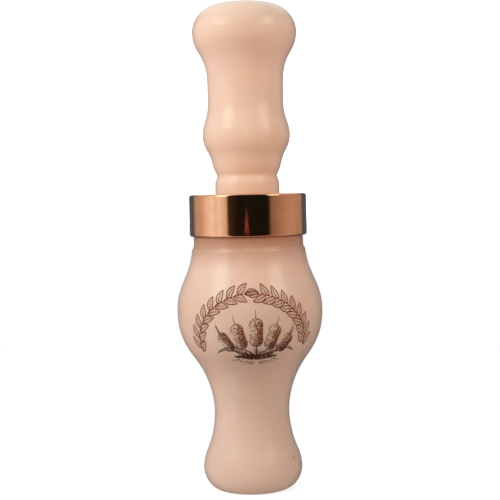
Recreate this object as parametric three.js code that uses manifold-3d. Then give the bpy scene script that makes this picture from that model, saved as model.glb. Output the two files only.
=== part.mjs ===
// A double-reed duck call: turned barrel with a metal band, and an insert that pushes into its bore.
// Millimetres, +Z along the call's axis from the mouth end (z = 0) to the exhaust end, -Y the reed side.
import * as THREE from "three";
import { mergeVertices } from "three/addons/utils/BufferGeometryUtils.js";
import Module from "manifold-3d";

const wasm = await Module();
wasm.setup();

// Driving dimensions.
const BORE_R = 7.94; // 5/8 in bore right through the barrel
const BARREL_LENGTH = 76.5; // 3 in barrel
const CALL_LENGTH = 126.1; // about 5 in overall with the insert seated
const LIP_FLAT_R = 8.9; // outer edge of the flat ring that the mouth end stands on
const LIP_R = 13.0;
const LIP_HEIGHT = 5.6;
const BAND_R = 15.3; // 1.2 in metal band
const BAND_BORE_R = 12.7;
const BAND_Z = 66.2; // underside of the band
const BAND_TOP_Z = 77.0; // the band stands a little proud of the barrel's end
const COVE_R = 14.25; // barrel just under the band
const GLUE_GAP = 0.05;

const EXHAUST_R = 6.05; // bore right through the stem
const SPIGOT_R = 6.0; // tone board's end, glued in the stem
const SPIGOT_TOP = 92;
const TENON_R = 7.75; // tone board's body, a sliding fit in the barrel
const TENON_BOTTOM = 57;
const BOARD_R = 7.2; // half-round sounding board under the tenon
const BOARD_TIP = 17.3;
const O_RING_R = 7.3; // centre of the cord's section
const O_RING_CORD_R = 0.6;
const O_RING_Z = [63, 71.5];
const O_RING_GROOVE_R = 6.65;
const O_RING_GROOVE_HALF = 0.7;

const FACE_Y = -1.0; // flat of the sounding board, under the clamped ends of the reeds
const FACE_CURVE_START = 43; // below this height the face curves away from the reeds
const FACE_CURVE_R = 260;
const TROUGH_R = 3.0;
const TROUGH_Y = 0.6;
const TROUGH_START = 25;
const SLOT_TOP = 60; // slot in the tenon that takes the reed butts and the wedge's tongue
const SLOT_Y = -4.5;

const REED_THICKNESS = 0.3;
const LOWER_REED_Y = -1.05; // side of each reed that faces the board
const UPPER_REED_Y = -1.4;
const REED_BUTT = 59.5;
const WEDGE_Y = -1.75;
const WEDGE_R = 7.5;
const WEDGE_BOTTOM = 45.5;

const SEGMENTS = 48;
const ARC_STEPS = 5;

// Profile helpers. A profile point is (radius, height).
const point = (r, z) => new THREE.Vector2(r, z);

function arc(centreR, centreZ, radiusR, radiusZ, fromDegrees, toDegrees, steps = ARC_STEPS) {
  const points = [];
  for (let i = 0; i <= steps; i++) {
    const a = THREE.MathUtils.degToRad(fromDegrees + ((toDegrees - fromDegrees) * i) / steps);
    points.push(point(centreR + radiusR * Math.cos(a), centreZ + radiusZ * Math.sin(a)));
  }
  return points;
}

function smooth(pairs, steps) {
  return new THREE.SplineCurve(pairs.map(([r, z]) => point(r, z))).getPoints(steps);
}

// Turns a closed profile, listed anticlockwise, about the call's axis.
function turned(profile) {
  return new THREE.LatheGeometry([...profile, profile[0].clone()], SEGMENTS).rotateX(Math.PI / 2);
}

// Turns a profile that starts and ends on the axis.
function turnedSolid(profile) {
  return new THREE.LatheGeometry(profile, SEGMENTS).rotateX(Math.PI / 2);
}

// Extrudes an outline drawn in (y, z) across the call, centred on x = 0.
function acrossCall(outline, width) {
  const geometry = new THREE.ExtrudeGeometry(new THREE.Shape(outline), { depth: width, bevelEnabled: false });
  geometry.translate(0, 0, -width / 2);
  return geometry.applyMatrix4(new THREE.Matrix4().set(0, 0, 1, 0, 1, 0, 0, 0, 0, 1, 0, 0, 0, 0, 0, 1));
}

// Solid booleans.
function solid(geometry) {
  const g = geometry.clone();
  g.deleteAttribute("normal");
  g.deleteAttribute("uv");
  const merged = mergeVertices(g, 1e-3);
  return new wasm.Manifold(
    new wasm.Mesh({
      numProp: 3,
      vertProperties: merged.attributes.position.array,
      triVerts: new Uint32Array(merged.index.array),
    }),
  );
}

function geometryOf(manifold) {
  const made = manifold.getMesh();
  const geometry = new THREE.BufferGeometry();
  geometry.setAttribute("position", new THREE.BufferAttribute(made.vertProperties, 3));
  geometry.setIndex(new THREE.BufferAttribute(made.triVerts, 1));
  geometry.computeVertexNormals();
  return geometry;
}

// Barrel: round lip, narrow neck, full bulge, shoulder bead, cove and the tenon that carries the band.
function barrelGeometry() {
  const body = smooth(
    [
      [LIP_R, LIP_HEIGHT],
      [12.3, 9.1],
      [10.76, 13.3],
      [10.0, 17.5],
      [9.8, 21],
      [10.9, 27],
      [13.4, 32.5],
      [16.8, 37.5],
      [18.6, 42.5],
      [19.0, 46.4],
      [18.4, 51.1],
      [16.9, 55.3],
      [15.35, 59.5],
      [14.7, 62.7],
    ],
    26,
  );
  return turned([
    point(8.2, 0),
    ...arc(LIP_FLAT_R, LIP_HEIGHT, LIP_R - LIP_FLAT_R, LIP_HEIGHT, -90, -15),
    ...body,
    point(COVE_R + 0.05, 63.5),
    point(COVE_R, BAND_Z - GLUE_GAP),
    point(BAND_BORE_R - GLUE_GAP, BAND_Z - GLUE_GAP),
    point(BAND_BORE_R - GLUE_GAP, BARREL_LENGTH),
    point(BORE_R + 0.2, BARREL_LENGTH),
    point(BORE_R, BARREL_LENGTH - 0.2),
    point(BORE_R, 0.3),
  ]);
}

function bandGeometry() {
  const lowerR = 0.7;
  const lowerZ = 0.8;
  const upperR = 0.65;
  const upperZ = 0.6;
  return turned([
    point(BAND_BORE_R, BAND_Z),
    ...arc(BAND_R - lowerR, BAND_Z + lowerZ, lowerR, lowerZ, -90, 0),
    ...arc(BAND_R - upperR, BAND_TOP_Z - upperZ, upperR, upperZ, 0, 90),
    point(BAND_BORE_R, BAND_TOP_Z),
  ]);
}

// Stem: collar, lanyard groove, middle bead, waist and the round exhaust end.
function stemGeometry() {
  const topBulbZ = 119.0;
  const rimR = 6.6;
  const body = smooth(
    [
      [7.75, 81.8],
      [8.5, 83.4],
      [9.08, 85.8],
      [10.5, 88.9],
      [11.35, 92.3],
      [10.9, 95.2],
      [10.0, 98.4],
      [9.8, 102],
      [9.82, 106],
      [10.4, 110.2],
      [11.66, 113.3],
      [13.16, 116.5],
      [13.57, topBulbZ],
    ],
    26,
  );
  return turned([
    point(EXHAUST_R, BARREL_LENGTH),
    point(8.15, BARREL_LENGTH),
    point(8.4, BARREL_LENGTH + 0.25),
    point(8.4, 80.3),
    ...body,
    ...arc(rimR, topBulbZ, 13.57 - rimR, CALL_LENGTH - topBulbZ, 12, 90, 8),
    ...arc(rimR, CALL_LENGTH - (rimR - EXHAUST_R), rimR - EXHAUST_R, rimR - EXHAUST_R, 120, 180, 2),
  ]);
}

function faceY(z) {
  const below = Math.max(0, FACE_CURVE_START - z);
  return FACE_Y + below ** 2 / (2 * FACE_CURVE_R);
}

// Tone board: glued spigot, tenon with two O-ring grooves, and the sounding board with its trough.
function toneBoardGeometry() {
  const shoulder = BARREL_LENGTH - GLUE_GAP;
  const grooves = O_RING_Z.flatMap((z) => [
    point(TENON_R, z - O_RING_GROOVE_HALF),
    point(O_RING_GROOVE_R, z - O_RING_GROOVE_HALF),
    point(O_RING_GROOVE_R, z + O_RING_GROOVE_HALF),
    point(TENON_R, z + O_RING_GROOVE_HALF),
  ]);
  const blank = turnedSolid([
    point(0, BOARD_TIP),
    point(5.2, BOARD_TIP),
    point(BOARD_R, 22.5),
    point(BOARD_R, TENON_BOTTOM),
    point(TENON_R, TENON_BOTTOM),
    ...grooves,
    point(TENON_R, shoulder - 0.3),
    point(TENON_R - 0.3, shoulder),
    point(SPIGOT_R, shoulder),
    point(SPIGOT_R, SPIGOT_TOP - 0.4),
    point(SPIGOT_R - 0.4, SPIGOT_TOP),
    point(0, SPIGOT_TOP),
  ]);
  const below = BOARD_TIP - 2;
  const face = [];
  for (let i = 0; i <= 8; i++) {
    const z = FACE_CURVE_START + ((below - FACE_CURVE_START) * i) / 8;
    face.push(new THREE.Vector2(faceY(z), z));
  }
  const reedSide = acrossCall(
    [
      new THREE.Vector2(FACE_Y, SLOT_TOP),
      ...face,
      new THREE.Vector2(-10, below),
      new THREE.Vector2(-10, TENON_BOTTOM),
      new THREE.Vector2(SLOT_Y, TENON_BOTTOM),
      new THREE.Vector2(SLOT_Y, SLOT_TOP),
    ],
    24,
  );
  const end = arc(0, TROUGH_START, TROUGH_R, TROUGH_R, -90, 0, 6);
  end[0].x = 0;
  const trough = new THREE.LatheGeometry([...end, point(TROUGH_R, 95), point(0, 95)], 24);
  trough.rotateX(Math.PI / 2).translate(0, TROUGH_Y, 0);
  return geometryOf(solid(blank).subtract(solid(reedSide)).subtract(solid(trough)));
}

// A reed is a flat strip, clamped at its butt and free at its tip, with its tip's corners cut off.
function reedGeometry(tipZ, sideY, buttHalf, tipHalf) {
  const ear = 2.0;
  const outline = [
    [-buttHalf, REED_BUTT],
    [-tipHalf, tipZ + ear],
    [-tipHalf + ear, tipZ],
    [tipHalf - ear, tipZ],
    [tipHalf, tipZ + ear],
    [buttHalf, REED_BUTT],
  ].map(([x, z]) => new THREE.Vector2(x, z));
  const strip = new THREE.ExtrudeGeometry(new THREE.Shape(outline), {
    depth: REED_THICKNESS,
    bevelEnabled: false,
  });
  return strip.rotateX(Math.PI / 2).translate(0, sideY, 0);
}

// Wedge: a half-moon cork block on the reeds, with a tongue that jams in the tenon's slot.
function wedgeGeometry() {
  const top = TENON_BOTTOM - 0.1;
  const tongueTop = REED_BUTT;
  const block = turnedSolid([
    point(0, WEDGE_BOTTOM),
    point(4.6, WEDGE_BOTTOM),
    point(WEDGE_R, 50),
    point(WEDGE_R, tongueTop),
    point(0, tongueTop),
  ]);
  const section = acrossCall(
    [
      new THREE.Vector2(WEDGE_Y, tongueTop + 1),
      new THREE.Vector2(WEDGE_Y, WEDGE_BOTTOM - 1),
      new THREE.Vector2(-10, WEDGE_BOTTOM - 1),
      new THREE.Vector2(-10, top),
      new THREE.Vector2(SLOT_Y + GLUE_GAP, top),
      new THREE.Vector2(SLOT_Y + GLUE_GAP, tongueTop + 1),
    ],
    24,
  );
  return geometryOf(solid(block).intersect(solid(section)));
}

const resin = new THREE.MeshStandardMaterial({ color: 0xe6be9f, roughness: 0.25, metalness: 0 });
const copper = new THREE.MeshStandardMaterial({ color: 0xe0a27c, roughness: 0.15, metalness: 1 });
const acetal = new THREE.MeshStandardMaterial({ color: 0x1c1c1e, roughness: 0.45, metalness: 0 });
const mylar = new THREE.MeshStandardMaterial({ color: 0xdfe3e2, roughness: 0.35, metalness: 0 });
const cork = new THREE.MeshStandardMaterial({ color: 0xb98a5c, roughness: 0.9, metalness: 0 });
const rubber = new THREE.MeshStandardMaterial({ color: 0x151515, roughness: 0.7, metalness: 0 });

function piece(name, geometry, material) {
  const mesh = new THREE.Mesh(geometry, material);
  mesh.name = name;
  return mesh;
}

const group = new THREE.Group();
const insert = new THREE.Group();
group.add(piece("barrel", barrelGeometry(), resin), piece("band", bandGeometry(), copper), insert);
insert.add(
  piece("stem", stemGeometry(), resin),
  piece("tone_board", toneBoardGeometry(), acetal),
  piece("lower_reed", reedGeometry(16.5, LOWER_REED_Y, 6.2, 5.6), mylar),
  piece("upper_reed", reedGeometry(20.5, UPPER_REED_Y, 6.2, 5.2), mylar),
  piece("wedge", wedgeGeometry(), cork),
);
["o_ring_lower", "o_ring_upper"].forEach((name, i) => {
  const ring = piece(name, new THREE.TorusGeometry(O_RING_R, O_RING_CORD_R, 8, SEGMENTS), rubber);
  ring.position.z = O_RING_Z[i];
  insert.add(ring);
});

export default group;
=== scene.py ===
"""Looks for a turned duck call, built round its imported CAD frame.

Outlines are in millimetres, as (radius, height) above the mouth end, and MM turns them into Blender's metres.
-Y is the side with the engraving, and +Z runs from the mouth end to the exhaust end.
"""

import math
import random

import bmesh
import bpy
import numpy as np
from mathutils import Matrix, Vector


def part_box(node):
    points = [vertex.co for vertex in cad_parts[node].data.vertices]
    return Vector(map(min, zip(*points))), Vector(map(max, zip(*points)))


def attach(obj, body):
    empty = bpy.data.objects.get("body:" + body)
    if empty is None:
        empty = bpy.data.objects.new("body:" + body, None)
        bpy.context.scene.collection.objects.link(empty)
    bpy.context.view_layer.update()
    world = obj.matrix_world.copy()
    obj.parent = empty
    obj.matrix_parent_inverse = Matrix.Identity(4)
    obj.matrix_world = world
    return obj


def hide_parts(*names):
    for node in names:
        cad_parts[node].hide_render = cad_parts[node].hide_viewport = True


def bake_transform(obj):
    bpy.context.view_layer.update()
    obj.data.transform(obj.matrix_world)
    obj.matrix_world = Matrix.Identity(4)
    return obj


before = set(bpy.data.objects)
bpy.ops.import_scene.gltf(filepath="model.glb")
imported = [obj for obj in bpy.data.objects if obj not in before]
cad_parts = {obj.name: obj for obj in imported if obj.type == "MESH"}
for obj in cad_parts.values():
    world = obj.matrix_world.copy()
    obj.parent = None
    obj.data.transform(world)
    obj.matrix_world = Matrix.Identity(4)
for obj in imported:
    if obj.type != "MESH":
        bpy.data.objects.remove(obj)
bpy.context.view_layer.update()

MM = 0.001
SEGMENTS = 256


# ---------------------------------------------------------------- sizes from the frame
def span(node):
    """Largest radius, lowest height and highest height of a CAD node, in millimetres."""
    low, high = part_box(node)
    return high.x / MM, low.z / MM, high.z / MM


BULGE_R, MOUTH_Z, BARREL_TOP = span("barrel")
BAND_R, BAND_LOW, BAND_TOP = span("band")
STEM_R, STEM_LOW, STEM_TOP = span("stem")
BORE_R = 7.94
BAND_BORE_R = 12.7
EXHAUST_R = 6.05
GLUE = 0.05


# ---------------------------------------------------------------- outlines and meshes
def spline(points, step=0.5):
    """A natural cubic curve through the points, sampled about every step."""
    p = np.array(points, float)
    t = np.concatenate([[0], np.cumsum(np.linalg.norm(np.diff(p, axis=0), axis=1))])
    h = np.diff(t)
    n = len(p)
    a = np.eye(n)
    b = np.zeros((n, 2))
    for i in range(1, n - 1):
        a[i, i - 1 : i + 2] = h[i - 1], 2 * (h[i - 1] + h[i]), h[i]
        b[i] = 6 * ((p[i + 1] - p[i]) / h[i] - (p[i] - p[i - 1]) / h[i - 1])
    m = np.linalg.solve(a, b)
    out = []
    for s in np.linspace(0, t[-1], max(2, int(t[-1] / step) + 1)):
        i = min(n - 2, int(np.searchsorted(t, s, side="right")) - 1)
        u, v = t[i + 1] - s, s - t[i]
        q = (m[i] * u**3 + m[i + 1] * v**3) / (6 * h[i])
        q += (p[i] / h[i] - m[i] * h[i] / 6) * u + (p[i + 1] / h[i] - m[i + 1] * h[i] / 6) * v
        out.append(tuple(q))
    return out


def arc(centre, radii, start, end, steps=14, fullness=2.0):
    """Points of an elliptical arc, angles in degrees; fullness under 2 makes it leaner."""
    out = []
    for a in np.radians(np.linspace(start, end, steps + 1)):
        x = math.copysign(abs(math.cos(a)) ** (2 / fullness), math.cos(a))
        y = math.copysign(abs(math.sin(a)) ** (2 / fullness), math.sin(a))
        out.append((centre[0] + radii[0] * x, centre[1] + radii[1] * y))
    return out


def rounded(points, radius, steps=5):
    """The same open outline with each inner corner replaced by a small round."""
    out = [points[0]]
    for before, corner, after in zip(points, points[1:], points[2:]):
        p, c, q = (np.array(x, float) for x in (before, corner, after))
        a = c + (p - c) / np.linalg.norm(p - c) * min(radius, np.linalg.norm(p - c) / 2)
        b = c + (q - c) / np.linalg.norm(q - c) * min(radius, np.linalg.norm(q - c) / 2)
        for t in np.linspace(0, 1, steps + 1):
            out.append(tuple((1 - t) ** 2 * a + 2 * t * (1 - t) * c + t**2 * b))
    return out + [points[-1]]


def mesh_object(name, vertices, faces, sharp=40):
    """A closed mesh, in metres, with its faces turned outward and smooth shading up to the sharp angle."""
    data = bpy.data.meshes.new(name)
    data.from_pydata([tuple(v) for v in vertices], [], faces)
    made = bmesh.new()
    made.from_mesh(data)
    bmesh.ops.remove_doubles(made, verts=made.verts, dist=1e-8)
    bmesh.ops.recalc_face_normals(made, faces=made.faces)
    if made.calc_volume(signed=True) < 0:
        bmesh.ops.reverse_faces(made, faces=made.faces)
    made.to_mesh(data)
    made.free()
    data.shade_smooth()
    data.set_sharp_from_angle(angle=math.radians(sharp))
    obj = bpy.data.objects.new(name, data)
    bpy.context.scene.collection.objects.link(obj)
    return obj


def turned(name, outline, segments=SEGMENTS, sharp=40):
    """Turns a closed outline about the call's axis."""
    rings = len(outline)
    vertices = []
    for r, z in outline:
        for k in range(segments):
            a = 2 * math.pi * k / segments
            vertices.append((r * math.cos(a) * MM, r * math.sin(a) * MM, z * MM))
    faces = []
    for i in range(rings):
        j = (i + 1) % rings
        for k in range(segments):
            n = (k + 1) % segments
            faces.append((i * segments + k, i * segments + n, j * segments + n, j * segments + k))
    return mesh_object(name, vertices, faces, sharp)


def place(obj, body, slot, material, *nodes):
    """Gives a piece its material, and hands it to the frame in place of the CAD nodes."""
    obj.data.materials.clear()
    obj.data.materials.append(material)
    if nodes:
        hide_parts(*nodes)
    if body:
        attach(obj, body)
    return obj


# ---------------------------------------------------------------- material helpers
class Tree:
    """A short way to write a node tree."""

    def __init__(self, tree):
        self.tree = tree

    def link(self, source, socket):
        self.tree.links.new(source, socket)

    def put(self, value, socket):
        if isinstance(value, bpy.types.NodeSocket):
            self.link(value, socket)
        else:
            socket.default_value = value

    def vector(self, operation, a, b=None, scale=None):
        """A vector sum, product or scaling; DISTANCE and LENGTH give a number."""
        node = self.tree.nodes.new("ShaderNodeVectorMath")
        node.operation = operation
        self.put(a, node.inputs[0])
        if b is not None:
            self.put(b, node.inputs[1])
        if scale is not None:
            node.inputs["Scale"].default_value = scale
        return node.outputs["Value" if operation in ("DISTANCE", "LENGTH") else "Vector"]

    def math(self, operation, a, b=0.0, c=0.0):
        node = self.tree.nodes.new("ShaderNodeMath")
        node.operation = operation
        for value, socket in zip((a, b, c), node.inputs):
            self.put(value, socket)
        return node.outputs[0]

    def axes(self, vector):
        """The X, Y and Z sockets of a vector."""
        node = self.tree.nodes.new("ShaderNodeSeparateXYZ")
        self.link(vector, node.inputs[0])
        return node.outputs

    def spread(self, value, low, high, to_low=0.0, to_high=1.0):
        """An eased step, from to_low where the value is low to to_high where it is high."""
        node = self.tree.nodes.new("ShaderNodeMapRange")
        node.interpolation_type = "SMOOTHSTEP"
        self.put(value, node.inputs["Value"])
        for key, number in zip(("From Min", "From Max", "To Min", "To Max"), (low, high, to_low, to_high)):
            node.inputs[key].default_value = number
        return node.outputs["Result"]

    def mix(self, fac, a, b):
        node = self.tree.nodes.new("ShaderNodeMix")
        node.data_type = "RGBA"
        colour_a, colour_b = (socket for socket in node.inputs if socket.type == "RGBA")
        self.put(fac, node.inputs["Factor"])
        self.put(a, colour_a)
        self.put(b, colour_b)
        return next(socket for socket in node.outputs if socket.type == "RGBA")


class Nodes(Tree):
    """A material's node tree. Its coordinates are the part's own, in millimetres."""

    def __init__(self, name):
        self.material = bpy.data.materials.new(name)
        self.material.use_nodes = True
        super().__init__(self.material.node_tree)
        self.shader = self.tree.nodes["Principled BSDF"]
        coordinates = self.tree.nodes.new("ShaderNodeTexCoord")
        self.mm = self.vector("SCALE", coordinates.outputs["Object"], scale=1 / MM)

    def height(self):
        return self.axes(self.mm)["Z"]

    def stretched(self, x, y, z):
        return self.vector("MULTIPLY", self.mm, (x, y, z))

    def noise(self, scale, detail=3.0, roughness=0.5, distortion=0.0, at=None):
        node = self.tree.nodes.new("ShaderNodeTexNoise")
        self.link(at or self.mm, node.inputs["Vector"])
        node.inputs["Scale"].default_value = scale
        node.inputs["Detail"].default_value = detail
        node.inputs["Roughness"].default_value = roughness
        node.inputs["Distortion"].default_value = distortion
        return node.outputs["Fac"]

    def cells(self, scale, feature="F1"):
        node = self.tree.nodes.new("ShaderNodeTexVoronoi")
        node.feature = feature
        self.link(self.mm, node.inputs["Vector"])
        node.inputs["Scale"].default_value = scale
        return node.outputs["Distance"]

    def bump(self, height, distance_mm, strength=1.0, normal=None):
        node = self.tree.nodes.new("ShaderNodeBump")
        node.inputs["Strength"].default_value = strength
        node.inputs["Distance"].default_value = distance_mm * MM
        self.link(height, node.inputs["Height"])
        if normal is not None:
            self.link(normal, node.inputs["Normal"])
        return node.outputs["Normal"]

    def set(self, **values):
        for key, value in values.items():
            self.put(value, self.shader.inputs[key.replace("_", " ")])


def colour(r, g, b):
    """An sRGB colour given as 0-255, as the linear RGBA that nodes take."""
    def linear(c):
        c /= 255
        return c / 12.92 if c <= 0.04045 else ((c + 0.055) / 1.055) ** 2.4
    return (linear(r), linear(g), linear(b), 1.0)


def resin(name, tint, band_shade=None, nick=None):
    """Polished cast resin: faint cloudiness, a pearly grain, and the marks that turning and polishing leave.

    The third argument, (colour, clear height, full height), is painted shade and painted warm bounce light
    from the copper, deepening towards the copper band.
    nick is the middle of a small knock in the surface, in millimetres.
    """
    n = Nodes(name)
    light, deep = tint
    cloud = n.noise(0.06, detail=3, distortion=0.8)
    base = n.mix(n.spread(cloud, 0.3, 0.72), light, deep)
    pearl = n.noise(0.55, detail=5, roughness=0.6)
    base = n.mix(n.spread(pearl, 0.35, 0.75, 0, 0.16), base, light)
    rings = n.noise(1.6, detail=5, roughness=0.7, at=n.stretched(0.012, 0.012, 1))
    base = n.mix(n.spread(rings, 0.35, 0.75, 0, 0.14), base, deep)
    # Painted shade and painted copper bounce light under the band, patchy, darker and warmer towards the
    # band.
    if band_shade:
        painted_shade, clear, full = band_shade
        patchy_shade_mask = n.math("MULTIPLY_ADD", cloud, 3.0, c=n.height())
        base = n.mix(n.spread(patchy_shade_mask, clear + 1.5, full + 1.5), base, painted_shade)
    scuffs = n.noise(0.5, detail=5, roughness=0.6)
    if nick:
        ragged = n.math("MULTIPLY_ADD", scuffs, 0.8, n.vector("DISTANCE", n.mm, nick))
        base = n.mix(n.spread(ragged, 0.35, 1.6, 0.42, 0.0), base, colour(150, 104, 84))
    n.set(Base_Color=base, Roughness=n.spread(scuffs, 0.25, 0.8, 0.36, 0.48), Specular_IOR_Level=0.25)
    n.set(Subsurface_Weight=0.3, Subsurface_Scale=0.002, Subsurface_Radius=(1.0, 0.4, 0.22))
    n.set(Coat_Weight=0.8, Coat_Roughness=0.2)
    fine = n.bump(rings, 0.008, 0.5)
    n.set(Normal=n.bump(n.noise(0.3, detail=2), 0.04, 0.35, fine))
    return n.material


def polished_copper():
    """A ring polished in the lathe: fine lines round it, a few of them deeper, and faint handling marks."""
    n = Nodes("polished_copper")
    lines = n.noise(14, detail=4, roughness=0.7, at=n.stretched(0.01, 0.01, 1))
    smear = n.noise(0.25, detail=4, roughness=0.6, distortion=0.5)
    warm = n.mix(n.spread(smear, 0.35, 0.7), colour(246, 190, 154), colour(240, 180, 144))
    base = n.mix(n.spread(lines, 0.35, 0.75, 0, 0.35), warm, colour(232, 168, 132))
    n.set(Base_Color=base, Metallic=1.0, Roughness=n.spread(smear, 0.3, 0.75, 0.05, 0.11))
    n.set(Anisotropic=0.25, Anisotropic_Rotation=0.0)
    fine = n.bump(lines, 0.0015, 0.5)
    n.set(Normal=n.bump(n.noise(0.45, detail=1, at=n.stretched(1, 1, 0.15)), 0.02, 0.4, fine))
    return n.material


def machined_acetal():
    """Black engineering plastic with cutter marks along the board and a dull, slightly waxy surface."""
    n = Nodes("machined_acetal")
    marks = n.noise(3.5, detail=4, roughness=0.6, at=n.stretched(1, 1, 0.05))
    grime = n.noise(0.3, detail=3)
    base = n.mix(n.spread(marks, 0.3, 0.8), colour(30, 30, 32), colour(48, 48, 51))
    n.set(Base_Color=n.mix(n.spread(grime, 0.45, 0.8, 0, 0.5), base, colour(66, 64, 62)))
    n.set(Roughness=n.spread(marks, 0.2, 0.8, 0.36, 0.55), Normal=n.bump(marks, 0.02, 0.6))
    return n.material


def frosted_film():
    """Polyester reed film: milky, with rolling lines along it and tiny scratches."""
    n = Nodes("frosted_film")
    grain = n.noise(5, detail=4, roughness=0.6, at=n.stretched(1, 1, 0.04))
    haze = n.noise(0.4, detail=2)
    base = n.mix(n.spread(haze, 0.3, 0.75), colour(226, 232, 231), colour(205, 214, 216))
    n.set(Base_Color=n.mix(n.spread(grain, 0.5, 0.8, 0, 0.4), base, colour(238, 240, 238)))
    n.set(Roughness=n.spread(grain, 0.2, 0.8, 0.28, 0.45), Transmission_Weight=0.35, IOR=1.6)
    n.set(Normal=n.bump(grain, 0.006, 0.5))
    return n.material


def natural_cork():
    """Cork: honey-brown granules with darker seams and pits."""
    n = Nodes("natural_cork")
    granules = n.cells(1.6)
    seams = n.cells(1.6, feature="DISTANCE_TO_EDGE")
    tone = n.noise(1.1, detail=4, roughness=0.65)
    base = n.mix(n.spread(tone, 0.3, 0.7), colour(203, 156, 108), colour(170, 118, 74))
    base = n.mix(n.spread(granules, 0.25, 0.75, 0, 0.35), base, colour(222, 180, 134))
    base = n.mix(n.spread(seams, 0.0, 0.07, 0.75, 0.0), base, colour(92, 58, 36))
    pits = n.spread(n.noise(2.6, detail=2), 0.62, 0.74)
    base = n.mix(n.math("MULTIPLY", pits, 0.8), base, colour(70, 44, 28))
    height = n.math("SUBTRACT", n.spread(seams, 0.0, 0.12), pits)
    n.set(Base_Color=base, Roughness=0.85, Normal=n.bump(height, 0.12, 0.8))
    return n.material


def seal_rubber():
    """Nitrile rubber with a matte skin and traces of grease."""
    n = Nodes("seal_rubber")
    bloom = n.noise(1.4, detail=4)
    n.set(Base_Color=n.mix(n.spread(bloom, 0.35, 0.75), colour(22, 22, 23), colour(40, 39, 38)))
    n.set(Roughness=n.spread(bloom, 0.3, 0.75, 0.38, 0.62), Normal=n.bump(n.noise(6, detail=3), 0.01, 0.5))
    return n.material


def burnt_resin():
    """Laser-burnt marks: reddish brown in the garland, darker in the rushes, uneven where the beam slowed."""
    n = Nodes("burnt_resin")
    scorch = n.noise(0.9, detail=3, roughness=0.6)
    speck = n.noise(7, detail=2)
    pale = n.mix(n.spread(scorch, 0.32, 0.7), colour(162, 88, 50), colour(128, 64, 36))
    dark = n.mix(n.spread(scorch, 0.32, 0.7), colour(92, 46, 26), colour(54, 26, 17))
    warm = n.mix(n.spread(scorch, 0.32, 0.7), colour(156, 92, 56), colour(120, 64, 38))
    dark = n.mix(n.spread(n.height(), 36.0, 43.5), dark, warm)
    away = n.vector("DISTANCE", n.stretched(1, 0, 1), (RUSHES[0], 0, RUSHES[1]))
    base = n.mix(n.spread(away, *RUSHES_REACH), dark, pale)
    base = n.mix(n.spread(speck, 0.45, 0.7, 0, 0.35), base, colour(74, 36, 24))
    n.set(Base_Color=base, Roughness=0.6, Specular_IOR_Level=0.2, Normal=n.bump(speck, 0.02, 0.7))
    return n.material


# The middle of the rushes, across and up, and how far from it the burn turns paler.
RUSHES = (1.6, 40.0)
RUSHES_REACH = (10.7, 11.7)
RESIN_BARREL = (colour(238, 200, 176), colour(233, 192, 165))
RESIN_STEM = (colour(240, 203, 178), colour(236, 195, 168))
# Painted shade and painted copper bounce light under the band: its colour, and the heights where it starts
# and where it is full.
BAND_SHADE_AND_BOUNCE = (colour(186, 130, 98), 57.5, 66.5)
LIP_NICK = (10.5, -6.6, 8.9)


# ---------------------------------------------------------------- barrel
LIP_FLAT_R = 8.9
LIP = (13.0, 5.6)
COVE_R = 14.28
SHOULDER = (14.78, 62.75)
# How far the band's outer edges are rounded, inward and up or down: lower edge, upper edge.
BAND_EDGES = ((0.6, 0.55), (0.65, 0.6))

BARREL_BODY = spline(
    [
        LIP,
        (12.72, 7.7),
        (11.3, 11.7),
        (10.24, 15.9),
        (9.83, 20.2),
        (10.27, 24.4),
        (11.5, 28.6),
        (13.6, 32.8),
        (16.45, 37.0),
        (18.3, 41.2),
        (BULGE_R, 46.4),
        (18.4, 51.4),
        (16.68, 55.8),
        (15.35, 59.6),
        SHOULDER,
    ]
)


def barrel():
    outside = (
        arc((LIP_FLAT_R, LIP[1]), (LIP[0] - LIP_FLAT_R, LIP[1]), -90, 0, 24, 1.88)
        + BARREL_BODY[1:]
        + rounded(
            [
                SHOULDER,
                (COVE_R + 0.12, 63.35),
                (COVE_R, 64.2),
                (COVE_R, BAND_LOW - 0.12),
                (COVE_R - 0.25, BAND_LOW - GLUE),
                (BAND_BORE_R - GLUE, BAND_LOW - GLUE),
                (BAND_BORE_R - GLUE, BARREL_TOP - 0.15),
                (BAND_BORE_R - 0.2, BARREL_TOP),
                (BORE_R + 0.35, BARREL_TOP),
                (BORE_R, BARREL_TOP - 0.35),
                (BORE_R, BARREL_TOP - 2),
            ],
            0.18,
        )[1:]
    )
    bore = [(BORE_R, z) for z in np.linspace(BARREL_TOP - 8, MOUTH_Z + 4, 12)]
    mouth = rounded([(BORE_R, MOUTH_Z + 2), (BORE_R + 0.1, MOUTH_Z + 0.3), (BORE_R + 0.4, MOUTH_Z)], 0.2)
    obj = turned("barrel_turned", outside + bore + mouth)
    material = resin("barrel_resin", RESIN_BARREL, BAND_SHADE_AND_BOUNCE, LIP_NICK)
    return place(obj, "barrel", "barrel_resin", material, "barrel")


def band():
    low, high = BAND_EDGES
    outline = (
        rounded([(BAND_BORE_R, BAND_LOW + 2), (BAND_BORE_R, BAND_LOW), (BAND_BORE_R + 0.5, BAND_LOW)], 0.1)
        + arc((BAND_R - low[0], BAND_LOW + low[1]), low, -90, 0, 12)
        + arc((BAND_R - high[0], BAND_TOP - high[1]), high, 0, 90, 12)
        + rounded([(BAND_BORE_R + 0.5, BAND_TOP), (BAND_BORE_R, BAND_TOP), (BAND_BORE_R, BAND_TOP - 2)], 0.15)
    )
    return place(turned("band_polished", outline), "barrel", "band_metal", polished_copper(), "band")


# ---------------------------------------------------------------- stem
CROWN_Z, CROWN_RIM_R, CROWN_FULLNESS = 119.0, 6.5, 1.95
COLLAR_R = 8.38


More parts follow.
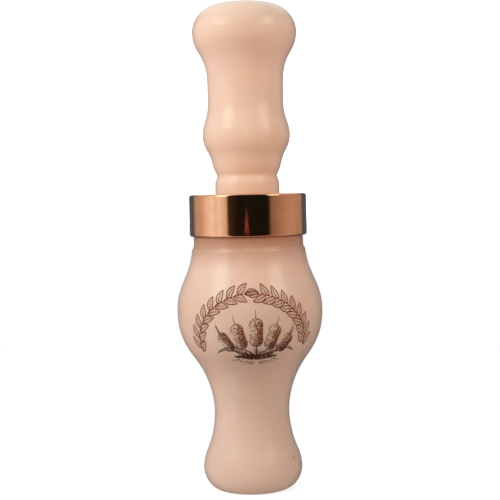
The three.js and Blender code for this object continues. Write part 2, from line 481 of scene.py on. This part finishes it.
def stem():
    body = spline(
        [
            (COLLAR_R, STEM_LOW + 1.2),
            (COLLAR_R, 79.2),
            (8.18, 80.7),
            (7.8, 81.7),
            (8.1, 82.6),
            (8.62, 83.8),
            (9.05, 85.3),
            (9.75, 87.4),
            (10.8, 89.5),
            (11.33, 91.6),
            (11.3, 93.7),
            (10.76, 95.8),
            (10.15, 97.9),
            (9.87, 100.2),
            (9.84, 104.2),
            (10.02, 108.3),
            (10.45, 110.5),
            (11.3, 112.6),
            (12.45, 114.7),
            (13.3, 116.8),
            (STEM_R, CROWN_Z),
        ],
        0.4,
    )
    rim = CROWN_RIM_R - EXHAUST_R
    edge = 0.3
    crown = (STEM_R - CROWN_RIM_R, STEM_TOP - CROWN_Z)
    outline = (
        rounded([(EXHAUST_R, STEM_LOW + 1), (EXHAUST_R, STEM_LOW), (8.0, STEM_LOW)], 0.2)
        + arc((COLLAR_R - edge, STEM_LOW + edge), (edge, edge), -90, 0, 5)
        + body
        + arc((CROWN_RIM_R, CROWN_Z), crown, 0, 90, 28, CROWN_FULLNESS)[1:]
        + arc((CROWN_RIM_R, STEM_TOP - rim), (rim, rim), 90, 180, 8)[1:]
        + [(EXHAUST_R, z) for z in np.linspace(STEM_TOP - 3, STEM_LOW + 3, 10)]
    )
    obj = turned("stem_turned", outline)
    return place(obj, "insert", "stem_resin", resin("stem_resin", RESIN_STEM), "stem")


# ---------------------------------------------------------------- tone board, reeds, wedge and seals
TENON_R = 7.75
TENON_LOW = 57.0
SPIGOT_R, SPIGOT_TOP = 6.0, 92.0
BOARD_R, BOARD_TIP, NOSE_R, NOSE_Z = 7.2, 17.3, 5.2, 22.5
FACE_Y, FACE_CURVE_Z, FACE_CURVE_R = -1.0, 43.0, 260.0
TROUGH_R, TROUGH_Y, TROUGH_Z = 3.0, 0.6, 25.0
SLOT_Y, SLOT_TOP = -4.5, 60.0
SEAL_R, SEAL_CORD_R = 7.3, 0.6
SEAL_Z = {"seal_lower": 63.0, "seal_upper": 71.5}
GROOVE_R, GROOVE_HALF = 6.65, 0.7
REED_BUTT, REED_HINGE_Z, REED_CORNER = 59.5, 45.0, 2.0
DIMPLE_R, DIMPLE_DEPTH, DIMPLE_SHOWS_THROUGH, DIMPLE_Z = 1.15, 0.24, 0.2, 33.0
WEDGE_Y, WEDGE_R, WEDGE_LOW, WEDGE_NOSE_R, WEDGE_NOSE_Z = -1.75, 7.5, 45.5, 4.6, 50.0


def spindle(name, outline, segments):
    """Turns an open outline that starts and ends on the axis."""
    middle = outline[1:-1]
    vertices = [(0, 0, outline[0][1] * MM), (0, 0, outline[-1][1] * MM)]
    for r, z in middle:
        for k in range(segments):
            a = 2 * math.pi * k / segments
            vertices.append((r * math.cos(a) * MM, r * math.sin(a) * MM, z * MM))
    faces = []
    last = 2 + (len(middle) - 1) * segments
    for k in range(segments):
        n = (k + 1) % segments
        faces.append((0, 2 + n, 2 + k))
        faces.append((1, last + k, last + n))
        for i in range(len(middle) - 1):
            p = 2 + i * segments
            faces.append((p + k, p + n, p + segments + n, p + segments + k))
    return mesh_object(name, vertices, faces)


def extruded(name, outline, half_width):
    """Carries an outline drawn as (y, z) across the call, from -half_width to +half_width in x."""
    count = len(outline)
    vertices = [(x * MM, y * MM, z * MM) for x in (-half_width, half_width) for y, z in outline]
    faces = [tuple(range(count)), tuple(range(2 * count - 1, count - 1, -1))]
    for i in range(count):
        j = (i + 1) % count
        faces.append((i, j, count + j, count + i))
    return mesh_object(name, vertices, faces)


def carved(name, blank, operation, tools, edge):
    """Cuts the blank with the tools, or keeps what it shares with them, and eases the sharp edges."""
    for tool in tools:
        change = blank.modifiers.new(tool.name, "BOOLEAN")
        change.operation = operation
        change.solver = "EXACT"
        change.object = tool
    ease = blank.modifiers.new("ease", "BEVEL")
    ease.width = edge * MM
    ease.segments = 2
    ease.limit_method = "ANGLE"
    ease.angle_limit = math.radians(35)
    data = bpy.data.meshes.new_from_object(blank.evaluated_get(bpy.context.evaluated_depsgraph_get()))
    for used in (blank, *tools):
        bpy.data.objects.remove(used)
    data.shade_smooth()
    data.set_sharp_from_angle(angle=math.radians(30))
    obj = bpy.data.objects.new(name, data)
    bpy.context.scene.collection.objects.link(obj)
    return obj


def face_y(z):
    """Where the board's curved face is, across from the reeds."""
    return FACE_Y + max(0.0, FACE_CURVE_Z - z) ** 2 / (2 * FACE_CURVE_R)


def tone_board():
    shoulder = BAND_TOP - GLUE
    grooves = []
    for z in SEAL_Z.values():
        grooves += [(TENON_R, z - GROOVE_HALF), (GROOVE_R, z - GROOVE_HALF)]
        grooves += [(GROOVE_R, z + GROOVE_HALF), (TENON_R, z + GROOVE_HALF)]
    blank = spindle(
        "tone_board_blank",
        [
            (0, BOARD_TIP),
            (NOSE_R, BOARD_TIP),
            (BOARD_R, NOSE_Z),
            (BOARD_R, TENON_LOW),
            (TENON_R, TENON_LOW),
            *grooves,
            (TENON_R, shoulder - 0.3),
            (TENON_R - 0.3, shoulder),
            (SPIGOT_R, shoulder),
            (SPIGOT_R, SPIGOT_TOP - 0.4),
            (SPIGOT_R - 0.4, SPIGOT_TOP),
            (0, SPIGOT_TOP),
        ],
        96,
    )
    below = BOARD_TIP - 2
    face = [(face_y(z), z) for z in np.linspace(FACE_CURVE_Z, below, 30)]
    outer = [(-10, below), (-10, TENON_LOW), (SLOT_Y, TENON_LOW), (SLOT_Y, SLOT_TOP)]
    reed_side = extruded("reed_side", [(FACE_Y, SLOT_TOP), *face, *outer], 12)
    end = arc((0, TROUGH_Z), (TROUGH_R, TROUGH_R), -90, 0, 12)
    trough = spindle("trough", [(0, end[0][1]), *end[1:], (TROUGH_R, 95), (0, 95)], 64)
    trough.data.transform(Matrix.Translation((0, TROUGH_Y * MM, 0)))
    obj = carved("tone_board_machined", blank, "DIFFERENCE", (reed_side, trough), 0.07)
    return place(obj, "insert", "tone_board_acetal", machined_acetal(), "tone_board")


def reed(name, node, narrowing, dimple=None):
    """A film strip with eased edges and clipped corners.

    It narrows by narrowing on each side from butt to tip, and dimple is the height of the pressed dimple.
    """
    low, high = (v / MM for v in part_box(node))
    tip, outer, inner, butt_half = low.z, low.y, high.y, high.x
    tip_half = butt_half - narrowing
    rows, columns, edge = 120, 56, 0.06
    rim = spline([(0, 0), (0.35, 0.04), (1.55, 1.2), (REED_CORNER, REED_CORNER)], 0.2)
    vertices, faces = [], []
    for side in (inner, outer):
        for i in range(rows + 1):
            z = tip + (REED_BUTT - tip) * (i / rows) ** 1.25
            half = tip_half + (butt_half - tip_half) * (z - tip) / (REED_BUTT - tip)
            if z < tip + REED_CORNER:
                half += np.interp(z - tip, [p[1] for p in rim], [p[0] for p in rim]) - REED_CORNER
            for j in range(columns + 1):
                x = half * math.sin(math.pi / 2 * (2 * j / columns - 1))
                dent = 0.0
                if dimple:
                    away = math.hypot(x, z - dimple) / DIMPLE_R
                    dent = DIMPLE_DEPTH * max(0.0, 1 - away**2) ** 2
                    dent *= DIMPLE_SHOWS_THROUGH if side == inner else 1
                at_edge = i in (0, rows) or j in (0, columns)
                ease = edge * at_edge * (1 if side == outer else -1)
                vertices.append((x * MM, (side + dent + ease) * MM, z * MM))
    width = columns + 1
    layer = (rows + 1) * width
    for i in range(rows):
        for j in range(columns):
            a = i * width + j
            faces.append((a, a + 1, a + width + 1, a + width))
            faces.append((layer + a, layer + a + width, layer + a + width + 1, layer + a + 1))
    for i in range(rows):
        for a in (i * width, i * width + columns):
            faces.append((a, a + width, layer + a + width, layer + a))
    for j in range(columns):
        for a in (j, rows * width + j):
            faces.append((a, a + 1, layer + a + 1, layer + a))
    obj = mesh_object(name, vertices, faces, 50)
    place(obj, None, "reed_mylar", frosted_film(), node)
    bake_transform(obj)
    return obj


def cork_wedge():
    top = TENON_LOW - 0.1
    slot = SLOT_Y + 0.05
    blank = spindle(
        "wedge_blank",
        [
            (0, WEDGE_LOW),
            (WEDGE_NOSE_R, WEDGE_LOW),
            (WEDGE_R, WEDGE_NOSE_Z),
            (WEDGE_R, REED_BUTT),
            (0, REED_BUTT),
        ],
        96,
    )
    half = extruded(
        "wedge_half",
        [
            (WEDGE_Y, REED_BUTT + 1),
            (WEDGE_Y, WEDGE_LOW - 1),
            (-10, WEDGE_LOW - 1),
            (-10, top),
            (slot, top),
            (slot, REED_BUTT + 1),
        ],
        12,
    )
    obj = carved("wedge_cork", blank, "INTERSECT", (half,), 0.22)
    return place(obj, "insert", "wedge_cork", natural_cork(), "wedge")


def seals():
    rubber = seal_rubber()
    for (name, z), node in zip(SEAL_Z.items(), ("o_ring_lower", "o_ring_upper")):
        ring = turned(name, arc((SEAL_R, z), (SEAL_CORD_R, SEAL_CORD_R), 0, 352.5, 47), 192)
        place(ring, "o_rings", "seal_rubber", rubber, node)


# ---------------------------------------------------------------- engraving
# Places are (u, v) in millimetres, as the burin draws them.
SURFACE_Z = [z for r, z in BARREL_BODY]
SURFACE_R = [r for r, z in BARREL_BODY]
# The garland is an arc of an ellipse: its centre, and its half width and height.
GARLAND = ((0.6, 37.7), (15.6, 14.7))
LEAF_LENGTH, LEAF_WIDTH, LEAF_LINE = 3.7, 1.6, 0.27
VEIN_LINE = 0.1
# The reedmace heads: middle, lean in degrees, length and width.
HEADS = (
    ((-6.5, 40.3), 34, 5.4, 2.8),
    ((-2.9, 41.7), 16, 6.6, 3.3),
    ((1.5, 42.7), 1, 7.2, 3.5),
    ((5.8, 41.5), -18, 6.4, 3.3),
    ((9.4, 39.9), -38, 5.2, 2.8),
)
# The blades: foot, the point that they arch towards, tip and width.
BLADES = (
    ((1.0, 36.2), (-4.6, 40.4), (-9.8, 37.4), 1.15),
    ((1.2, 36.2), (-7.0, 38.0), (-9.0, 44.8), 0.95),
    ((2.0, 36.2), (7.6, 40.6), (13.0, 37.6), 1.15),
    ((1.9, 36.2), (9.6, 38.0), (11.6, 44.4), 0.95),
)
FOOT = (1.6, 36.4)
BANK, BANK_REACH, BANK_BLADES = (1.6, 36.1), 6.0, 95
# The ripples in the water: height, reach to each side, and the gap left in the middle.
RIPPLES = ((35.6, 7.6, 4.4), (35.1, 6.0, 1.0), (34.6, 3.6, 0.5))


class Burin:
    """Burnt lines and dots on the barrel's front, drawn flat as (u, v) in millimetres and wrapped round it.

    u runs to the right along the widest girth and v is the height. Every mark is a thin closed solid that
    shows a hair above the surface.
    """

    proud, sunk = 0.012, 0.04

    def __init__(self):
        self.vertices, self.faces = [], []
        self.chance = random.Random(11)

    def wrap(self, u, v, lift):
        r = float(np.interp(v, SURFACE_Z, SURFACE_R)) + lift
        a = u / BULGE_R
        self.vertices.append((r * math.sin(a) * MM, -r * math.cos(a) * MM, v * MM))

    def line(self, points, width, closed=False):
        p = np.array(points, float)
        if closed:
            tangent = np.roll(p, -1, 0) - np.roll(p, 1, 0)
        else:
            tangent = np.gradient(p, axis=0)
        tangent /= np.linalg.norm(tangent, axis=1)[:, None]
        side = np.stack([-tangent[:, 1], tangent[:, 0]], 1) * (np.broadcast_to(width, len(p))[:, None] / 2)
        first, count = len(self.vertices), len(p)
        corners = ((1, self.proud), (-1, self.proud), (-1, -self.sunk), (1, -self.sunk))
        for point, offset in zip(p, side):
            for way, lift in corners:
                self.wrap(*(point + way * offset), lift)
        for i in range(count if closed else count - 1):
            a, b = first + 4 * i, first + 4 * ((i + 1) % count)
            for k in range(4):
                n = (k + 1) % 4
                self.faces.append((a + k, a + n, b + n, b + k))
        if not closed:
            end = first + 4 * (count - 1)
            self.faces += [(first, first + 1, first + 2, first + 3), (end, end + 1, end + 2, end + 3)]

    def dot(self, u, v, radius, sides=6):
        first = len(self.vertices)
        turn = self.chance.random()
        for lift in (self.proud, -self.sunk):
            for k in range(sides):
                a = 2 * math.pi * (k + turn) / sides
                self.wrap(u + radius * math.cos(a), v + radius * math.sin(a), lift)
        self.faces.append(tuple(range(first, first + sides)))
        self.faces.append(tuple(range(first + 2 * sides - 1, first + sides - 1, -1)))
        for k in range(sides):
            n = (k + 1) % sides
            self.faces.append((first + k, first + n, first + sides + n, first + sides + k))


def turned_to(points, place_at, degrees):
    """Points turned by an angle and moved."""
    a = math.radians(degrees)
    c, s = math.cos(a), math.sin(a)
    return [(place_at[0] + x * c - y * s, place_at[1] + x * s + y * c) for x, y in points]


def curve_through(start, pull, end, steps):
    """A curve from start to end that leans towards pull."""
    out = []
    for t in np.linspace(0, 1, steps + 1):
        weights = ((1 - t) ** 2, 2 * t * (1 - t), t**2)
        out.append(tuple(sum(w * p[k] for w, p in zip(weights, (start, pull, end))) for k in (0, 1)))
    return out


def leaf(burin, foot, degrees):
    """An outlined leaf with a midrib and side veins."""
    length, half_width, arch, fullness = LEAF_LENGTH, LEAF_WIDTH / 2, 0.07 * LEAF_LENGTH, 0.85
    t = np.linspace(0, 1, 15)
    middle = arch * np.sin(math.pi * t)
    half = half_width * np.sin(math.pi * t**fullness)
    rim = [(length * a, m + h) for a, m, h in zip(t, middle, half)]
    rim += [(length * a, m - h) for a, m, h in list(zip(t, middle, half))[-2:0:-1]]
    burin.line(turned_to(rim, foot, degrees), LEAF_LINE, closed=True)
    rib = [(length * a, m) for a, m in zip(t[:-2], middle[:-2])]
    burin.line(turned_to(rib, foot, degrees), np.linspace(LEAF_LINE, 0.08, len(rib)))
    for a in (0.24, 0.42, 0.6):
        m = arch * math.sin(math.pi * a)
        reach = half_width * math.sin(math.pi * (a + 0.12) ** fullness) * 0.72
        for way in (1, -1):
            bend = (length * (a + 0.06), m + way * reach * 0.55)
            end = (length * (a + 0.14), m + way * reach)
            burin.line(turned_to([(length * a, m), bend, end], foot, degrees), VEIN_LINE)


def sprig(burin, start, end, count):
    """A leafy stem along the garland's arc, between two angles in degrees, with count pairs of leaves."""
    centre, radii = GARLAND
    way = 1 if end > start else -1
    steps = 60

    def at(degrees):
        a = math.radians(degrees)
        return centre[0] + radii[0] * math.cos(a), centre[1] + radii[1] * math.sin(a)

    def heading(degrees):
        a = math.radians(degrees)
        return math.degrees(math.atan2(way * radii[1] * math.cos(a), -way * radii[0] * math.sin(a)))

    angles = np.linspace(start, end, count + 1)
    burin.line([at(a) for a in np.linspace(start, end, steps)], np.linspace(0.3, 0.16, steps))
    for a in angles[:-1]:
        for spread_out, shift in ((38, 0.35), (-38, 0.0)):
            b = a + shift * (angles[1] - angles[0])
            leaf(burin, at(b), heading(b) + spread_out)
    leaf(burin, at(end), heading(end))


def blade(burin, start, pull, end, width):
    """A long arching rush leaf, outlined, with a fold line and dots along its shaded side."""
    spine = np.array(curve_through(start, pull, end, 30))
    tangent = np.gradient(spine, axis=0)
    tangent /= np.linalg.norm(tangent, axis=1)[:, None]
    side = np.stack([-tangent[:, 1], tangent[:, 0]], 1)
    t = np.linspace(0, 1, len(spine))
    half = (width / 2 * (1 - t**2.2) ** 0.9 * np.minimum(1, 0.45 + 2.5 * t))[:, None]
    rim = np.concatenate([spine + side * half, (spine - side * half)[-2::-1]])
    burin.line(rim, 0.15, closed=True)
    burin.line(spine[:-3], 0.09)
    for k in range(60):
        i = burin.chance.randrange(1, len(spine) - 4)
        u, v = spine[i] - side[i] * half[i] * burin.chance.uniform(0.1, 0.85)
        burin.dot(u, v, 0.075)


def seed_head(burin, middle, degrees, length, width):
    """A reedmace head on its stalk: round-ended, stippled ever darker towards its shaded side."""
    half = width / 2
    straight = length / 2 - half
    cap = [(half * math.cos(a), straight + half * math.sin(a)) for a in np.linspace(0, math.pi, 13)]
    rim = cap + [(-x, -y) for x, y in cap]
    burin.line(turned_to(rim, middle, degrees), 0.14, closed=True)
    spike = [(0, length / 2 + 0.1 * k) for k in range(22)]
    burin.line(turned_to(spike, middle, degrees), np.linspace(0.22, 0.1, len(spike)))
    step, jitter = 0.21, 0.05
    y = -length / 2 + step / 2
    while y < length / 2:
        beyond = max(0.0, abs(y) - straight)
        reach = math.sqrt(max(0.0, half**2 - beyond**2)) - 0.08
        x = -reach + step / 2
        while x < reach:
            across = x / half
            dark = 0.42 + 0.5 * across + 0.25 * (0.5 - y / length) + (0.25 if across < -0.7 else 0)
            if burin.chance.random() < dark + 0.12:
                at = (x + burin.chance.uniform(-jitter, jitter), y + burin.chance.uniform(-jitter, jitter))
                [(u, v)] = turned_to([at], middle, degrees)
                burin.dot(u, v, 0.085 + 0.065 * min(1, max(0, dark)))
            x += step
        y += step


def tuft(burin, foot, reach, count):
    """Short grass blades and a stippled bank under the rushes."""
    for k in range(count):
        t = burin.chance.uniform(-1, 1)
        u = foot[0] + reach * t
        tall = burin.chance.uniform(0.7, 2.4) * (1.15 - abs(t))
        low = foot[1] + 0.35 * burin.chance.random()
        tip = (u + t * tall * 0.7 + burin.chance.uniform(-0.25, 0.25), low + tall)
        bent = curve_through((u, low), (u + 0.1 * t, low + 0.6 * tall), tip, 6)
        burin.line(bent, np.linspace(0.26, 0.07, len(bent)))
    for k in range(count * 6):
        t = burin.chance.gauss(0, 0.45)
        if abs(t) < 1:
            u, v = foot[0] + reach * 1.1 * t, foot[1] + 0.55 - 1.0 * burin.chance.random() * (1 - t * t)
            burin.dot(u, v, burin.chance.uniform(0.07, 0.13))


def ripples(burin):
    """Thin broken waves to both sides under the bank."""
    for v, reach, gap in RIPPLES:
        for way in (-1, 1):
            wave = [(FOOT[0] + way * x, v + 0.12 * math.sin(2.6 * x)) for x in np.arange(gap, reach, 0.2)]
            burin.line(wave, np.linspace(0.22, 0.09, len(wave)))


def engraving():
    burin = Burin()
    sprig(burin, 181, 97, 8)
    sprig(burin, 4, 83, 8)
    for middle, lean, length, width in HEADS:
        [low] = turned_to([(0, -length / 2)], middle, lean)
        pull = (low[0] * 0.45 + FOOT[0] * 0.55, low[1] - 0.8)
        stalk = curve_through(FOOT, pull, low, 20)
        burin.line(stalk, np.linspace(0.4, 0.26, len(stalk)))
        seed_head(burin, middle, lean, length, width)
    for leaf_blade in BLADES:
        blade(burin, *leaf_blade)
    tuft(burin, BANK, BANK_REACH, BANK_BLADES)
    ripples(burin)
    obj = mesh_object("engraved_rushes", burin.vertices, burin.faces)
    return place(obj, "barrel", "engraving", burnt_resin())


# ---------------------------------------------------------------- camera, light and floor
EYE = Vector((0.35, -290, 74.6)) * MM
AIM_Z = 62.37
LENS = 79.7
LEAN = math.radians(-1.22)


def camera():
    """Level with the band, in front of the engraving, with the slight lean of a hand-held shot."""
    data = bpy.data.cameras.new("camera")
    data.sensor_width = 36
    data.lens = LENS
    data.clip_start = 0.01
    obj = bpy.data.objects.new("camera", data)
    bpy.context.scene.collection.objects.link(obj)
    obj.location = EYE
    aim = Vector((EYE.x, 0, AIM_Z * MM)) - EYE
    upright = aim.to_track_quat("-Z", "Y").to_matrix()
    obj.rotation_euler = (upright @ Matrix.Rotation(LEAN, 3, "Z")).to_euler()
    bpy.context.scene.camera = obj


def light(name, way, distance, height, size, watts, tint):
    """A soft panel that looks at the call's axis. Only the key panels show in the polish."""
    a, e = (math.radians(v) for v in way)
    way = Vector((math.sin(a) * math.cos(e), -math.cos(a) * math.cos(e), math.sin(e)))
    lamp = bpy.data.lights.new(name, "AREA")
    lamp.shape = "RECTANGLE"
    lamp.size, lamp.size_y = size
    lamp.energy = watts
    lamp.color = tint
    obj = bpy.data.objects.new(name, lamp)
    bpy.context.scene.collection.objects.link(obj)
    obj.location = Vector((0, 0, height)) + way * distance
    obj.rotation_euler = (-way).to_track_quat("-Z", "Y").to_euler()
    obj.visible_camera = False
    obj.visible_glossy = name.startswith("key")


# What the polish mirrors, by azimuth in degrees: 0 is the camera's side and positive is to its right.
SCREENS = [
    (-180, (0.10, 0.13, 0.15)),
    (-134, (0.10, 0.13, 0.16)),
    (-127, (0.40, 0.36, 0.32)),
    (-118, (0.56, 0.48, 0.40)),
    (-107, (0.60, 0.49, 0.39)),
    (-98, (0.74, 0.62, 0.52)),
    (-88, (0.90, 0.87, 0.82)),
    (-74, (0.97, 1.04, 1.04)),
    (-69, (0.95, 1.01, 1.00)),
    (-66, (0.80, 0.84, 0.82)),
    (-62, (0.92, 0.96, 0.93)),
    (-55, (1.00, 1.00, 0.94)),
    (-52, (0.84, 0.80, 0.74)),
    (-47, (0.84, 0.76, 0.68)),
    (-42, (0.68, 0.57, 0.46)),
    (-38, (0.05, 0.03, 0.02)),
    (-20, (0.012, 0.010, 0.008)),
    (37, (0.008, 0.010, 0.010)),
    (42, (0.03, 0.02, 0.01)),
    (46, (0.24, 0.18, 0.14)),
    (62, (0.38, 0.28, 0.22)),
    (84, (0.51, 0.39, 0.32)),
    (100, (0.50, 0.40, 0.32)),
    (127, (0.40, 0.34, 0.28)),
    (134, (0.10, 0.12, 0.13)),
    (180, (0.10, 0.13, 0.15)),
]
MIRROR_BELOW = (0.06, 0.045, 0.04, 1)
MIRROR_ABOVE = (1.1, 1.08, 1.05, 1)
GLINT = (0.22, 0.065, 0.05, 1)
# The warm glint in the front gap: its turn from the middle, half width at eye level, and how it widens below.
GLINT_TURN, GLINT_HALF, GLINT_WIDENS = 0.045, 0.018, 0.8
# How strongly each side of the tent lights matte surfaces.
TENT = {
    "left": (0.62, 0.60, 0.66, 1),
    "right": (0.01, 0.14, 0.22, 1),
    "front": (0.37, 0.36, 0.32, 1),
    "back": (0.63, 0.63, 0.65, 1),
    "above": (0.34, 0.44, 0.52, 1),
    "below": (0.44, 0.33, 0.29, 1),
}
BLACK = (0, 0, 0, 1)
WHITE = (1.4, 1.4, 1.4, 1)
# Name, (azimuth, elevation), distance, height aimed at, (width, height), watts and tint.
LAMPS = (
    ("key_left", (-54, 27), 0.3, 0.09, (0.13, 0.12), 0.15, (0.66, 0.98, 0.92)),
    ("key_right", (54, 27), 0.3, 0.09, (0.12, 0.12), 0.13, (0.78, 0.97, 0.88)),
    ("near_left", (-60, 12), 0.19, 0.105, (0.1, 0.1), 0.173, (1.0, 0.94, 1.0)),
    ("near_right", (50, 5), 0.19, 0.105, (0.1, 0.1), 0.133, (1.0, 0.66, 0.56)),
    ("near_top", (-15, 60), 0.16, 0.105, (0.1, 0.1), 0.038, (0.66, 0.95, 1.0)),
    ("near_lip", (-5, -28), 0.036, 0.0, (0.07, 0.02), 0.0036, (0.82, 0.92, 1.0)),
    ("near_band", (0, -18), 0.032, 0.086, (0.05, 0.012), 0.001, (1.0, 0.75, 0.35)),
)


def mirrored_screens(n, direction):
    """The ring of screens, the glint in its front gap, a dark floor and a bright roof that leans backward."""
    azimuth = n.math("ARCTAN2", direction["X"], n.math("MULTIPLY", direction["Y"], -1.0))
    screens = n.tree.nodes.new("ShaderNodeValToRGB")
    n.put(n.math("MULTIPLY_ADD", azimuth, 1 / (2 * math.pi), 0.5), screens.inputs[0])
    ramp = screens.color_ramp
    while len(ramp.elements) < len(SCREENS):
        ramp.elements.new(0.5)
    for element, (degrees, shade) in zip(ramp.elements, SCREENS):
        element.position = degrees / 360 + 0.5
    for element, (degrees, shade) in zip(ramp.elements, SCREENS):
        element.color = (*shade, 1)
    drop = n.math("MULTIPLY", direction["Z"], -1.0)
    half_width = n.math("MULTIPLY_ADD", drop, GLINT_WIDENS, GLINT_HALF)
    off_centre = n.math("ABSOLUTE", n.math("ADD", azimuth, GLINT_TURN))
    inside = n.spread(n.math("SUBTRACT", half_width, off_centre), -0.02, 0.03)
    shown = n.math("MULTIPLY", inside, n.spread(drop, 0.12, 0.06))
    mirrored = n.mix(shown, screens.outputs["Color"], GLINT)
    mirrored = n.mix(n.spread(direction["Z"], -0.7, -1.0), mirrored, MIRROR_BELOW)
    behind = n.math("MAXIMUM", direction["Y"], 0.0)
    lifted = n.math("MULTIPLY_ADD", behind, 0.66, direction["Z"])
    return n.mix(n.spread(lifted, 0.88, 1.05), mirrored, MIRROR_ABOVE)


def tent_light(n, direction):
    """Each side of the tent in turn, blended by how far the direction leans towards it."""
    tent = None
    for axis, low, high in (("X", "left", "right"), ("Y", "front", "back"), ("Z", "below", "above")):
        part = direction[axis]
        share = n.mix(n.math("GREATER_THAN", part, 0.0), TENT[low], TENT[high])
        lit = n.mix(n.math("MULTIPLY", part, part), BLACK, share)
        tent = n.vector("ADD", tent, lit) if tent else lit
    return tent


def surroundings():
    """A small studio, as light from each direction.

    What polished surfaces mirror is a ring of pale screens with dark gaps where the camera stands and behind
    the call, and a warm glint in the front gap. What lights the matte surfaces is the whole tent: brighter
    behind and on the left. The camera itself sees plain white.
    """
    world = bpy.data.worlds.new("studio")
    bpy.context.scene.world = world
    world.use_nodes = True
    n = Tree(world.node_tree)
    direction = n.axes(n.tree.nodes.new("ShaderNodeTexCoord").outputs["Generated"])
    seen = n.tree.nodes.new("ShaderNodeLightPath").outputs
    shone = n.mix(seen["Is Glossy Ray"], tent_light(n, direction), mirrored_screens(n, direction))
    background = n.tree.nodes["Background"]
    n.put(n.mix(seen["Is Camera Ray"], shone, WHITE), background.inputs["Color"])
    background.inputs["Strength"].default_value = 1.0


FLOOR_HALF = 4.0
FLOOR_FADE = (60, 320)


def floor():
    """A pale sheet that fades into the white background, in millimetres from the call."""
    n = Nodes("pale_floor")
    corners = [(x * FLOOR_HALF, y * FLOOR_HALF, 0) for x, y in ((-1, -1), (1, -1), (1, 1), (-1, 1))]
    data = bpy.data.meshes.new("floor")
    data.from_pydata(corners, [], [(0, 1, 2, 3)])
    obj = bpy.data.objects.new("floor", data)
    bpy.context.scene.collection.objects.link(obj)
    data.materials.append(n.material)
    grain = n.noise(0.02, detail=3)
    n.set(Base_Color=n.mix(grain, (0.6, 0.6, 0.6, 1), (0.56, 0.56, 0.56, 1)), Roughness=0.9)
    n.set(Emission_Color=(1, 1, 1, 1), Emission_Strength=0.7)
    glow = n.tree.nodes.new("ShaderNodeEmission")
    fade = n.tree.nodes.new("ShaderNodeMixShader")
    n.link(n.spread(n.vector("LENGTH", n.mm), *FLOOR_FADE), fade.inputs[0])
    n.link(n.shader.outputs[0], fade.inputs[1])
    n.link(glow.outputs[0], fade.inputs[2])
    n.link(fade.outputs[0], n.tree.nodes["Material Output"].inputs["Surface"])
    obj.visible_diffuse = False
    obj.visible_glossy = False
    obj.visible_shadow = False


bpy.context.scene.view_settings.view_transform = "Standard"
bpy.context.scene.view_settings.look = "None"

barrel()
band()
stem()
tone_board()
reed("reed_lower_film", "lower_reed", 0.6)
reed("reed_upper_film", "upper_reed", 1.0, DIMPLE_Z)
cork_wedge()
seals()
engraving()
camera()
surroundings()
floor()
for lamp in LAMPS:
    light(*lamp)
